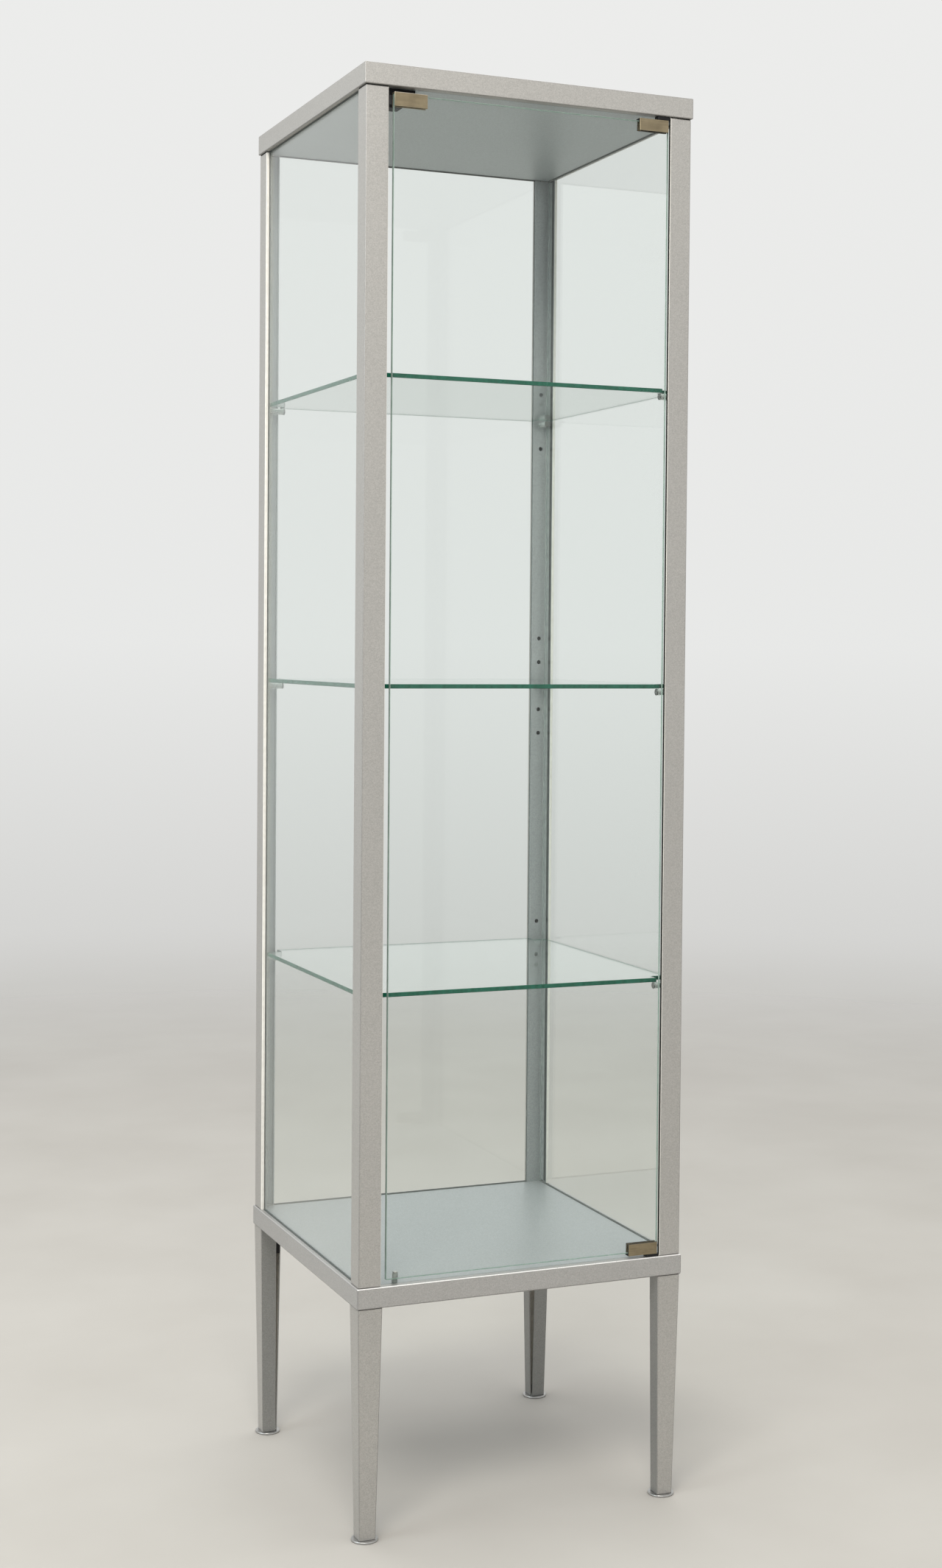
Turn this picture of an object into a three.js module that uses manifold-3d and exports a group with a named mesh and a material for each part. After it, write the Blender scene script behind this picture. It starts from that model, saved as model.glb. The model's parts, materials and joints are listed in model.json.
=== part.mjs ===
// A tall glass display showcase on four tapered legs, with one inset glass door.
// Millimetres, +Z up. The origin is on the floor under the middle of the cabinet,
// +X is to the right and -Y is the front, where the door is.

import * as THREE from 'three';
import { mergeVertices } from 'three/addons/utils/BufferGeometryUtils.js';
import Module from 'manifold-3d';

const wasm = await Module();
wasm.setup();

// ---- Driving dimensions ----------------------------------------------------

const GAP = 0.3;                 // clearance left between neighbouring pieces
const SHEET = 1.5;               // folded steel sheet
const HALF = 206;                // half of the square footprint of base and top
const BASE_BOTTOM = 270;         // underside of the base, on top of the legs
const BASE_TOP = 294;            // display floor
const CAP_BOTTOM = 1650;         // ceiling of the display space
const CAP_TOP = 1674;            // top of the cabinet
const RETURN_LIP = 25;           // folded-in lip along the bottom of the base
const TRAY_DEPTH = 14;           // folded edge of the floor and ceiling panels

const PANE = 4;                  // fixed glass
const PANE_INSET = 6.2;          // outer face of a fixed pane from the outer edge
const GROOVE_DEPTH = 5;          // how deep the panes drop into base and cap
const PANE_ENTRY = 2.5;          // how far the pane really enters the groove
const FRONT_RIM = 10.2;          // width of the flat rim under and over the door
const FRONT_ZONE_SIDE = 12;      // the groove stops this far from the side at the front

const POST_INSET = 2;            // outer faces of the posts from the outer edge
const POST_SIDE = 27;            // width of each outer face of a post
const POST_LIP = 3.9;            // depth of the folded lip at each post edge
const WALL_OUTER = 8.5;          // slot side of the drilled post wall
const WALL_INNER = 9.7;          // shelf side of the drilled post wall
const POST_PANE_END = 18.5;      // edge of a pane inside the post slot

const PIN_OFFSET = 16;           // shelf pin axis from the outer face of the post
const PIN_HOLE_RADIUS = 2.8;
const PIN_SHANK_RADIUS = 2.5;
const PIN_SLEEVE_RADIUS = 4;
const PIN_REACH = 22;            // how far a pin stands out of the post wall
const PIN_ROOT = 4;              // how far a pin goes behind the post wall
const HOLE_PITCH = 32;
const SHELF_LEVELS = [618, 970, 1322];       // axis heights of the shelf pins
const SPARE_HOLES = [1, 2, 1];               // spare holes above and below each level

const SHELF = 5;                 // glass shelf
const SHELF_EDGE = 11.2;         // shelf edge from the outer edge, sides and back
const SHELF_FRONT = 15.5;        // shelf edge from the outer edge, behind the door
const SHELF_NOTCH = 30;          // corner notches clear the posts

const DOOR = 5;                  // door glass
const DOOR_LEFT = -170;
const DOOR_RIGHT = 175.5;
const DOOR_FRONT = -201.5;       // front face of the door glass
const DOOR_BOTTOM = 300.2;
const DOOR_HEIGHT = 1342.3;
const PIVOT_X = 168.5;           // door pivot axis
const PIVOT_Y = DOOR_FRONT + DOOR / 2;
const PIVOT_RADIUS = 2;
const PIVOT_BORE = 3.2;          // hole in the rim for the bushing's spigot
const PIVOT_PIN_LENGTH = 10.7;
const SPIGOT_RADIUS = 2.9;
const SPIGOT_LENGTH = 4;

const CLAMP_LENGTH = 38;         // hinge clamps on the door corners
const CLAMP_HEIGHT = 14;
const CLAMP_DEPTH = 10;
const CLAMP_RIGHT = 174.5;
const CLAMP_WEB = 2.5;
const CLAMP_CORNER = 0.8;
const CLAMP_SCREW_LEVEL = 8.4;   // set screws above the outer face of the clamp
const CLAMP_SCREW_RADIUS = 2;
const CLAMP_SCREW_SOCKET = 1.1;
const SOCKET_DEPTH = 1.2;
const BUSHING_LENGTH = 16.5;
const BUSHING_DEPTH = 10;
const BUSHING_CORNER = 2;

const STRIKE_LENGTH = 40;        // steel clip the door magnet pulls on
const STRIKE_HEIGHT = 16;
const STRIKE_SHEET = 1.7;

const LEG_CENTRE = 16.3;         // axis of each leg from the outer edge
const LEG_TOP_WIDTH = 29.4;
const LEG_FOOT_WIDTH = 19.8;
const LEG_TOP_LIP = 20.5;        // width of the two inner lips of a leg, at its top
const LEG_FOOT_LIP = 17.5;       // the same at its foot
const LEG_FOOT_Z = 2.8;
const LEG_PLATE = 2;             // plates welded in at the top and the foot
const INSERT_BOTTOM = 235;       // plastic block that the leg bolt pulls against
const INSERT_WIDTH = 24;
const INSERT_CORNER = 2;
const BOLT_RADIUS = 4;
const BOLT_BORE = 4.4;
const BOLT_HEAD_RADIUS = 6.5;
const BOLT_HEAD_HEIGHT = 8;
const BOLT_HEAD_BORE = 7.2;
const BOLT_HEAD_DEPTH = 11;      // how deep the head sits in the block
const BOLT_SOCKET_RADIUS = 3.4;
const BOLT_SOCKET_DEPTH = 4;
const BOLT_TOP = BASE_BOTTOM + 12;
const NUT_RADIUS = 7.5;          // nuts welded on the base's return lip
const NUT_HEIGHT = 8;
const GLIDE_RADIUS = 16;
const GLIDE_HEIGHT = 2.5;
const GLIDE_STEM_RADIUS = 4;
const GLIDE_STEM_TOP = 14;

// ---- Materials -------------------------------------------------------------

function finish(color, roughness, metalness) {
  return new THREE.MeshStandardMaterial({ color, roughness, metalness, flatShading: true });
}

const silverPaint = finish(0xb9b6b0, 0.42, 0.55);
const clearGlass = finish(0xd5e3de, 0.05, 0.0);
const bronzePlate = finish(0x8f7f62, 0.35, 0.85);
const blackPlastic = finish(0x17181a, 0.55, 0.0);
const steel = finish(0x8d9090, 0.3, 0.95);
const greyPlastic = finish(0x8a8f8b, 0.5, 0.0);
const ferrite = finish(0x3a3a3c, 0.6, 0.3);
const blackSteel = finish(0x1c1c1e, 0.5, 0.7);

// ---- Solids ----------------------------------------------------------------

// A closed three.js geometry becomes a solid that can be joined and cut.
function solidOf(geometry) {
  const bare = geometry.clone();
  bare.deleteAttribute('normal');
  bare.deleteAttribute('uv');
  const merged = mergeVertices(bare, 1e-4);
  return new wasm.Manifold(new wasm.Mesh({
    numProp: 3,
    vertProperties: new Float32Array(merged.attributes.position.array),
    triVerts: new Uint32Array(merged.index.array),
  }));
}

function geometryOf(solid) {
  const mesh = solid.getMesh();
  const geometry = new THREE.BufferGeometry();
  geometry.setAttribute('position', new THREE.BufferAttribute(new Float32Array(mesh.vertProperties), 3));
  geometry.setIndex(new THREE.BufferAttribute(new Uint32Array(mesh.triVerts), 1));
  return geometry;
}

function box(x0, x1, y0, y1, z0, z1) {
  const geometry = new THREE.BoxGeometry(x1 - x0, y1 - y0, z1 - z0);
  geometry.translate((x0 + x1) / 2, (y0 + y1) / 2, (z0 + z1) / 2);
  return solidOf(geometry);
}

// A square frame whose outer edge is `outer` and whose inner edge is `inner`
// in from the outer edge of the cabinet.
function squareRing(outer, inner, z0, z1) {
  const a = HALF - outer;
  const b = HALF - inner;
  return box(-a, a, -a, a, z0, z1).subtract(box(-b, b, -b, b, z0 - 1, z1 + 1));
}

function prism(points, z0, z1) {
  const shape = new THREE.Shape(points.map(([x, y]) => new THREE.Vector2(x, y)));
  const geometry = new THREE.ExtrudeGeometry(shape, { depth: z1 - z0, bevelEnabled: false });
  geometry.translate(0, 0, z0);
  return solidOf(geometry);
}

// An upright cylinder, or a hexagonal bar when it has six sides.
function upright(x, y, z0, z1, radius, sides = 20) {
  const geometry = new THREE.CylinderGeometry(radius, radius, z1 - z0, sides);
  geometry.rotateX(Math.PI / 2);
  geometry.translate(x, y, (z0 + z1) / 2);
  return solidOf(geometry);
}

// A cylinder that lies along Y.
function alongY(x, z, y0, y1, radius, sides = 14) {
  const geometry = new THREE.CylinderGeometry(radius, radius, y1 - y0, sides);
  geometry.translate(x, (y0 + y1) / 2, z);
  return solidOf(geometry);
}

// A block with rounded upright corners.
function roundedBlock(x0, x1, y0, y1, z0, z1, radius) {
  const shape = new THREE.Shape();
  shape.absarc(x1 - radius, y1 - radius, radius, 0, Math.PI / 2);
  shape.absarc(x0 + radius, y1 - radius, radius, Math.PI / 2, Math.PI);
  shape.absarc(x0 + radius, y0 + radius, radius, Math.PI, Math.PI * 1.5);
  shape.absarc(x1 - radius, y0 + radius, radius, Math.PI * 1.5, Math.PI * 2);
  const extrusion = { depth: z1 - z0, bevelEnabled: false, curveSegments: 4 };
  const geometry = new THREE.ExtrudeGeometry(shape, extrusion);
  geometry.translate(0, 0, z0);
  return solidOf(geometry);
}

const showcase = new THREE.Group();

function addPiece(name, shape, material, parent = showcase) {
  const geometry = shape instanceof THREE.BufferGeometry ? shape : geometryOf(shape);
  const mesh = new THREE.Mesh(geometry, material);
  mesh.name = name;
  parent.add(mesh);
  return mesh;
}

// The four corners repeat by quarter turns, starting at the front left.
const CORNERS = ['front_left', 'front_right', 'rear_right', 'rear_left'];

function addAtCorners(prefix, shape, material, suffix = '') {
  const geometry = geometryOf(shape);
  CORNERS.forEach((corner, index) => {
    const quarter = new THREE.Group();
    quarter.rotation.z = index * Math.PI / 2;
    showcase.add(quarter);
    addPiece(`${prefix}_${corner}${suffix}`, geometry, material, quarter);
  });
}

// ---- Base and top ----------------------------------------------------------

// Folded sheet round the edge: a rim that carries the posts, and on the two
// sides and the back a groove that holds the glass. `face` is the height of the
// rim and `inward` is the direction from the rim into the folded box.
function rimSheets(face, inward) {
  const level = (from, to) => [face + inward * from, face + inward * to].sort((a, b) => a - b);
  const rim = squareRing(0, PANE_INSET - GAP, ...level(0, SHEET));
  const grooveWall = squareRing(PANE_INSET - GAP - SHEET, PANE_INSET - GAP, ...level(0, GROOVE_DEPTH));
  const grooveFloor = squareRing(
    PANE_INSET - GAP - SHEET, PANE_INSET + PANE, ...level(GROOVE_DEPTH - SHEET, GROOVE_DEPTH));
  const side = HALF - FRONT_ZONE_SIDE;
  const frontZone = box(-side, side, -HALF + SHEET, -HALF + FRONT_RIM + 1, ...level(-1, GROOVE_DEPTH + 1));
  const frontRim = box(-HALF + SHEET, HALF - SHEET, -HALF, -HALF + FRONT_RIM, ...level(0, SHEET));
  return rim.add(grooveWall).add(grooveFloor).subtract(frontZone).add(frontRim);
}

const pivotHole = upright(PIVOT_X, PIVOT_Y, BASE_TOP - 10, CAP_BOTTOM + 10, PIVOT_BORE);

function baseFrame() {
  let frame = rimSheets(BASE_TOP, -1)
    .add(squareRing(0, SHEET, BASE_BOTTOM, BASE_TOP))
    .add(squareRing(0, RETURN_LIP, BASE_BOTTOM, BASE_BOTTOM + SHEET));
  const reach = HALF - LEG_CENTRE;
  for (const sx of [-1, 1]) {
    for (const sy of [-1, 1]) {
      const nut = upright(sx * reach, sy * reach, BASE_BOTTOM, BASE_BOTTOM + NUT_HEIGHT, NUT_RADIUS, 6);
      const bore = upright(sx * reach, sy * reach, BASE_BOTTOM - 1, BASE_BOTTOM + NUT_HEIGHT + 1, BOLT_BORE);
      frame = frame.add(nut).subtract(bore);
    }
  }
  return frame.subtract(pivotHole);
}

function topCap() {
  return rimSheets(CAP_BOTTOM, 1)
    .add(squareRing(0, SHEET, CAP_BOTTOM, CAP_TOP))
    .add(box(-HALF, HALF, -HALF, HALF, CAP_TOP - SHEET, CAP_TOP))
    .subtract(pivotHole);
}

// A shallow folded tray that closes the inside of the base or the cap.
function innerTray(face, inward) {
  const edge = HALF - PANE_INSET - PANE - GAP;
  const level = (from, to) => [face + inward * from, face + inward * to].sort((a, b) => a - b);
  const inside = edge - SHEET;
  return box(-edge, edge, -edge, edge, ...level(0, TRAY_DEPTH))
    .subtract(box(-inside, inside, -inside, inside, ...level(SHEET, TRAY_DEPTH + 1)));
}

// ---- Posts, glass and shelves ----------------------------------------------

const POST_OUTLINE = [
  [0, 0], [POST_SIDE, 0], [POST_SIDE, POST_LIP], [POST_SIDE - SHEET, POST_LIP],
  [POST_SIDE - SHEET, SHEET], [SHEET, SHEET], [SHEET, WALL_OUTER], [POST_SIDE, WALL_OUTER],
  [POST_SIDE, WALL_INNER], [SHEET, WALL_INNER], [SHEET, POST_SIDE - SHEET],
  [POST_LIP, POST_SIDE - SHEET], [POST_LIP, POST_SIDE], [0, POST_SIDE],
];
const POST_ORIGIN = -HALF + POST_INSET;
const PIN_X = POST_ORIGIN + PIN_OFFSET;
const PIN_FACE_Y = POST_ORIGIN + WALL_INNER;

function frontLeftPost() {
  const outline = POST_OUTLINE.map(([u, v]) => [POST_ORIGIN + u, POST_ORIGIN + v]);
  let post = prism(outline, BASE_TOP + GAP, CAP_BOTTOM - GAP);
  SHELF_LEVELS.forEach((level, index) => {
    for (let step = -SPARE_HOLES[index]; step <= SPARE_HOLES[index]; step += 1) {
      const height = level + step * HOLE_PITCH;
      const y0 = POST_ORIGIN + WALL_OUTER - 1;
      post = post.subtract(alongY(PIN_X, height, y0, PIN_FACE_Y + 1, PIN_HOLE_RADIUS));
    }
  });
  return post;
}

// Steel pin with a soft clear sleeve. It lies along +Y from the front left post.
function shelfPin(level) {
  const shoulder = GAP;
  const profile = [
    [0, -PIN_ROOT], [PIN_SHANK_RADIUS, -PIN_ROOT], [PIN_SHANK_RADIUS, shoulder],
    [PIN_SLEEVE_RADIUS, shoulder], [PIN_SLEEVE_RADIUS, PIN_REACH], [0, PIN_REACH],
  ].map(([radius, along]) => new THREE.Vector2(radius, along));
  const geometry = new THREE.LatheGeometry(profile, 14);
  geometry.translate(PIN_X, PIN_FACE_Y, level);
  return solidOf(geometry);
}

// The left pane; the back and right panes are the same glass turned by quarters.
function leftPane() {
  return box(
    -HALF + PANE_INSET, -HALF + PANE_INSET + PANE,
    PIN_FACE_Y + GAP, HALF - POST_INSET - POST_PANE_END,
    BASE_TOP - PANE_ENTRY, CAP_BOTTOM + PANE_ENTRY);
}

function shelfGlass(level) {
  const side = HALF - SHELF_EDGE;
  const front = -HALF + SHELF_FRONT;
  const notch = HALF - SHELF_NOTCH;
  const outline = [
    [-notch, front], [notch, front], [notch, -notch], [side, -notch],
    [side, notch], [notch, notch], [notch, side], [-notch, side],
    [-notch, notch], [-side, notch], [-side, -notch], [-notch, -notch],
  ];
  const underside = level + PIN_SLEEVE_RADIUS + GAP;
  return prism(outline, underside, underside + SHELF);
}

// ---- Door ------------------------------------------------------------------

const DOOR_BACK = DOOR_FRONT + DOOR;
const DOOR_TOP = DOOR_BOTTOM + DOOR_HEIGHT;
const CLAMP_LEFT = CLAMP_RIGHT - CLAMP_LENGTH;
const CLAMP_FRONT = PIVOT_Y - CLAMP_DEPTH / 2;
const CLAMP_BACK = PIVOT_Y + CLAMP_DEPTH / 2;
const SET_SCREWS_X = [CLAMP_LEFT + 8, CLAMP_LEFT + 24];

// U-shaped clamp for the lower corner of the door glass: `sign` is 1 for the
// lower corner and -1 for the upper one, and `edge` is the height of the glass edge.
function hingeClamp(edge, sign) {
  const web = edge - sign * (GAP + CLAMP_WEB);
  const span = (from, to) => [web + sign * from, web + sign * to].sort((a, b) => a - b);
  let clamp = roundedBlock(
    CLAMP_LEFT, CLAMP_RIGHT, CLAMP_FRONT, CLAMP_BACK, ...span(0, CLAMP_HEIGHT), CLAMP_CORNER);
  clamp = clamp.subtract(box(
    CLAMP_LEFT - 1, CLAMP_RIGHT + 1, DOOR_FRONT - GAP, DOOR_BACK + GAP,
    ...span(CLAMP_WEB, CLAMP_HEIGHT + 1)));
  clamp = clamp.subtract(upright(PIVOT_X, PIVOT_Y, ...span(-1, CLAMP_WEB + 1), PIVOT_RADIUS + GAP));
  const screwZ = web + sign * CLAMP_SCREW_LEVEL;
  for (const x of SET_SCREWS_X) {
    clamp = clamp.subtract(alongY(x, screwZ, DOOR_BACK, CLAMP_BACK + 1, CLAMP_SCREW_RADIUS + GAP));
  }
  return clamp;
}

function setScrew(x, edge, sign) {
  const screwZ = edge - sign * (GAP + CLAMP_WEB) + sign * CLAMP_SCREW_LEVEL;
  const end = CLAMP_BACK - GAP;
  const socket = alongY(x, screwZ, end - SOCKET_DEPTH, end + 1, CLAMP_SCREW_SOCKET, 6);
  return alongY(x, screwZ, DOOR_BACK + GAP, end, CLAMP_SCREW_RADIUS).subtract(socket);
}

// Plastic bearing plate with a spigot through the rim. It fills the space between
// the rim at height `face` and the clamp on the glass edge at height `edge`, and
// `sign` points from the rim towards the door.
function bushing(face, edge, sign) {
  const level = (from, to) => [face + sign * from, face + sign * to].sort((a, b) => a - b);
  const left = PIVOT_X - BUSHING_LENGTH / 2;
  const plateTop = Math.abs(edge - face) - CLAMP_WEB - 2 * GAP;
  return roundedBlock(
    left, left + BUSHING_LENGTH, PIVOT_Y - BUSHING_DEPTH / 2, PIVOT_Y + BUSHING_DEPTH / 2,
    ...level(GAP, plateTop), BUSHING_CORNER)
    .add(upright(PIVOT_X, PIVOT_Y, ...level(-SPIGOT_LENGTH, 1), SPIGOT_RADIUS))
    .subtract(upright(PIVOT_X, PIVOT_Y, ...level(-SPIGOT_LENGTH - 1, plateTop + 1), PIVOT_RADIUS + GAP));
}

function pivotPin(edge, sign) {
  const inner = edge - sign * GAP;
  const [low, high] = [inner, inner - sign * PIVOT_PIN_LENGTH].sort((a, b) => a - b);
  return upright(PIVOT_X, PIVOT_Y, low, high, PIVOT_RADIUS);
}

// Folded steel clip over the free upper corner of the door glass.
function strikeClip() {
  const top = DOOR_TOP + GAP + STRIKE_SHEET;
  const front = DOOR_FRONT - GAP - STRIKE_SHEET;
  const back = DOOR_BACK + GAP + STRIKE_SHEET;
  return box(DOOR_LEFT, DOOR_LEFT + STRIKE_LENGTH, front, back, top - STRIKE_HEIGHT, top)
    .subtract(box(
      DOOR_LEFT - 1, DOOR_LEFT + STRIKE_LENGTH + 1, DOOR_FRONT - GAP, DOOR_BACK + GAP,
      top - STRIKE_HEIGHT - 1, DOOR_TOP + GAP));
}

// ---- Magnetic catch and door stop ------------------------------------------

const CATCH_LEFT = -175.5;
const CATCH_WIDTH = 18;
const CATCH_FRONT = -193;
const CATCH_DEPTH = 18;
const CATCH_HEIGHT = 21.2;
const CATCH_EAR = 17;
const CATCH_EAR_THICKNESS = 4.2;
const CATCH_EAR_CORNER = 3;
const CATCH_SCREW_X = CATCH_LEFT + CATCH_WIDTH + 9;
const CATCH_SCREWS_Y = [CATCH_FRONT + 5, CATCH_FRONT + 13];
const CATCH_SCREW_RADIUS = 1.5;
const CATCH_SCREW_BORE = 1.9;
const CATCH_SCREW_LENGTH = 6;    // how far the screws go above the ceiling's face
const SCREW_HEAD_RADIUS = 3;
const SCREW_HEAD_BORE = 3.4;
const SCREW_HEAD_HEIGHT = 1.2;
const MAGNET_INSET = 2.5;
const MAGNET_DEPTH = 5.3;
const MAGNET_TOP = 7;            // top of the magnet below the ceiling's face
const MAGNET_PROUD = 0.4;        // how far the magnet stands out of its housing
const STOP_SLEEVE_RADIUS = 3.3;
const STOP_SLEEVE_HEIGHT = 11.3;
const STOP_STEM_RADIUS = 1.2;
const STOP_HEAD_RADIUS = 3;
const STOP_HEAD_HEIGHT = 1.9;
const STOP_ROOT = 2.5;           // how far the stop pin goes into the floor panel
const STOP_X = -156.5;
const STOP_Y = DOOR_BACK + GAP + STOP_SLEEVE_RADIUS;

function magnetPocket(clearance, front) {
  return box(
    CATCH_LEFT + MAGNET_INSET + clearance, CATCH_LEFT + CATCH_WIDTH - MAGNET_INSET - clearance,
    front, CATCH_FRONT + MAGNET_DEPTH - clearance,
    CAP_BOTTOM - CATCH_HEIGHT + MAGNET_INSET + clearance, CAP_BOTTOM - MAGNET_TOP - clearance);
}

function catchHousing() {
  const top = CAP_BOTTOM - GAP;
  let housing = box(
    CATCH_LEFT, CATCH_LEFT + CATCH_WIDTH, CATCH_FRONT, CATCH_FRONT + CATCH_DEPTH, top - CATCH_HEIGHT, top);
  housing = housing.add(roundedBlock(
    CATCH_LEFT + CATCH_WIDTH - 4, CATCH_LEFT + CATCH_WIDTH + CATCH_EAR,
    CATCH_FRONT, CATCH_FRONT + CATCH_DEPTH, top - CATCH_EAR_THICKNESS, top, CATCH_EAR_CORNER));
  const low = top - CATCH_EAR_THICKNESS;
  for (const y of CATCH_SCREWS_Y) {
    housing = housing
      .subtract(upright(CATCH_SCREW_X, y, low - 1, top + 1, CATCH_SCREW_BORE, 14))
      .subtract(upright(CATCH_SCREW_X, y, low - 1, low + SCREW_HEAD_HEIGHT + GAP, SCREW_HEAD_BORE, 14));
  }
  return housing.subtract(magnetPocket(0, CATCH_FRONT - 1));
}

function catchScrew(y) {
  const head = CAP_BOTTOM - GAP - CATCH_EAR_THICKNESS;
  return upright(CATCH_SCREW_X, y, head, head + SCREW_HEAD_HEIGHT, SCREW_HEAD_RADIUS, 14)
    .add(upright(CATCH_SCREW_X, y, head + 1, CAP_BOTTOM + CATCH_SCREW_LENGTH, CATCH_SCREW_RADIUS, 14));
}

const catchScrewHoles = CATCH_SCREWS_Y
  .map((y) => upright(CATCH_SCREW_X, y, CAP_BOTTOM - 1, CAP_BOTTOM + 2 * SHEET, CATCH_SCREW_BORE, 14))
  .reduce((all, hole) => all.add(hole));

const stopHeadBottom = BASE_TOP + STOP_SLEEVE_HEIGHT + GAP;

function stopPin() {
  return upright(STOP_X, STOP_Y, BASE_TOP - STOP_ROOT, stopHeadBottom + 1, STOP_STEM_RADIUS, 12)
    .add(upright(STOP_X, STOP_Y, stopHeadBottom, stopHeadBottom + STOP_HEAD_HEIGHT, STOP_HEAD_RADIUS));
}

function stopSleeve() {
  const bore = upright(STOP_X, STOP_Y, BASE_TOP - 1, stopHeadBottom, STOP_STEM_RADIUS + GAP, 12);
  return upright(STOP_X, STOP_Y, BASE_TOP + GAP, BASE_TOP + STOP_SLEEVE_HEIGHT, STOP_SLEEVE_RADIUS)
    .subtract(bore);
}

const stopHole = upright(STOP_X, STOP_Y, BASE_TOP - 2 * SHEET, BASE_TOP + 1, STOP_STEM_RADIUS + GAP, 12);

// ---- Legs ------------------------------------------------------------------

// A slab between two outlines that lie on level planes: the lower and upper
// outlines have the same number of points.
function loft(lower, upper, z0, z1) {
  const count = lower.length;
  const positions = [];
  lower.forEach(([x, y]) => positions.push(x, y, z0));
  upper.forEach(([x, y]) => positions.push(x, y, z1));
  const index = [];
  for (let i = 0; i < count; i += 1) {
    const j = (i + 1) % count;
    index.push(i, j, count + j, i, count + j, count + i);
  }
  const faces = THREE.ShapeUtils.triangulateShape(lower.map(([x, y]) => new THREE.Vector2(x, y)), []);
  faces.forEach(([a, b, c]) => index.push(a, c, b, count + a, count + b, count + c));
  const geometry = new THREE.BufferGeometry();
  geometry.setAttribute('position', new THREE.Float32BufferAttribute(positions, 3));
  geometry.setIndex(index);
  return solidOf(geometry);
}

// Open square section of folded sheet, `side` wide and centred on the leg's axis. Its
// two inner lips, `lip` wide, leave the inner corner open.
const LEG_AXIS = -HALF + LEG_CENTRE;

function legSection(side, lip) {
  const origin = LEG_AXIS - side / 2;
  return [
    [0, 0], [side, 0], [side, lip], [side - SHEET, lip],
    [side - SHEET, SHEET], [SHEET, SHEET], [SHEET, side - SHEET],
    [lip, side - SHEET], [lip, side], [0, side],
  ].map(([u, v]) => [origin + u, origin + v]);
}

function legPlate(width, z0) {
  const reach = width / 2 - SHEET / 2;
  return box(LEG_AXIS - reach, LEG_AXIS + reach, LEG_AXIS - reach, LEG_AXIS + reach, z0, z0 + LEG_PLATE);
}

const LEG_TOP = BASE_BOTTOM - GAP;
const INSERT_TOP = LEG_TOP - LEG_PLATE - GAP;

function frontLeftLeg() {
  const foot = legSection(LEG_FOOT_WIDTH, LEG_FOOT_LIP);
  const top = legSection(LEG_TOP_WIDTH, LEG_TOP_LIP);
  return loft(foot, top, LEG_FOOT_Z, LEG_TOP)
    .add(legPlate(LEG_TOP_WIDTH, LEG_TOP - LEG_PLATE))
    .add(legPlate(LEG_FOOT_WIDTH, LEG_FOOT_Z))
    .subtract(upright(LEG_AXIS, LEG_AXIS, INSERT_TOP, LEG_TOP + 1, BOLT_BORE))
    .subtract(upright(LEG_AXIS, LEG_AXIS, 0, LEG_FOOT_Z + LEG_PLATE + 1, GLIDE_STEM_RADIUS + GAP));
}

// Plastic block inside the top of the leg, with the bolt's head sunk in its underside.
function frontLeftInsert() {
  const low = LEG_AXIS - INSERT_WIDTH / 2;
  const high = LEG_AXIS + INSERT_WIDTH / 2;
  const headEnd = INSERT_BOTTOM + BOLT_HEAD_DEPTH + GAP;
  return roundedBlock(low, high, low, high, INSERT_BOTTOM, INSERT_TOP, INSERT_CORNER)
    .subtract(upright(LEG_AXIS, LEG_AXIS, INSERT_BOTTOM - 1, INSERT_TOP + 1, BOLT_BORE))
    .subtract(upright(LEG_AXIS, LEG_AXIS, INSERT_BOTTOM - 1, headEnd, BOLT_HEAD_BORE, 24));
}

function frontLeftBolt() {
  const headTop = INSERT_BOTTOM + BOLT_HEAD_DEPTH;
  const headBottom = headTop - BOLT_HEAD_HEIGHT;
  const socketTop = headBottom + BOLT_SOCKET_DEPTH;
  return upright(LEG_AXIS, LEG_AXIS, headBottom, headTop, BOLT_HEAD_RADIUS, 24)
    .add(upright(LEG_AXIS, LEG_AXIS, headTop - 1, BOLT_TOP, BOLT_RADIUS))
    .subtract(upright(LEG_AXIS, LEG_AXIS, headBottom - 1, socketTop, BOLT_SOCKET_RADIUS, 6));
}

function frontLeftGlide() {
  return upright(LEG_AXIS, LEG_AXIS, 0, GLIDE_HEIGHT, GLIDE_RADIUS, 36)
    .add(upright(LEG_AXIS, LEG_AXIS, 1, GLIDE_STEM_TOP, GLIDE_STEM_RADIUS));
}

// ---- Assembly --------------------------------------------------------------

addPiece('base_frame', baseFrame(), silverPaint);
addPiece('floor_panel', innerTray(BASE_TOP, -1).subtract(stopHole), silverPaint);
addPiece('top_cap', topCap(), silverPaint);
addPiece('ceiling_panel', innerTray(CAP_BOTTOM, 1).subtract(catchScrewHoles), silverPaint);

addAtCorners('post', frontLeftPost(), silverPaint);
addAtCorners('leg', frontLeftLeg(), silverPaint);
addAtCorners('leg_insert', frontLeftInsert(), blackPlastic);
addAtCorners('leg_bolt', frontLeftBolt(), blackSteel);
addAtCorners('leg_glide', frontLeftGlide(), steel);

const pane = geometryOf(leftPane());
['pane_left', 'pane_back', 'pane_right'].forEach((name, index) => {
  const quarter = new THREE.Group();
  quarter.rotation.z = -index * Math.PI / 2;
  showcase.add(quarter);
  addPiece(name, pane, clearGlass, quarter);
});

['lower', 'middle', 'upper'].forEach((name, index) => {
  addPiece(`shelf_${name}`, shelfGlass(SHELF_LEVELS[index]), clearGlass);
  addAtCorners(`shelf_pin_${name}`, shelfPin(SHELF_LEVELS[index]), steel);
});

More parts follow.
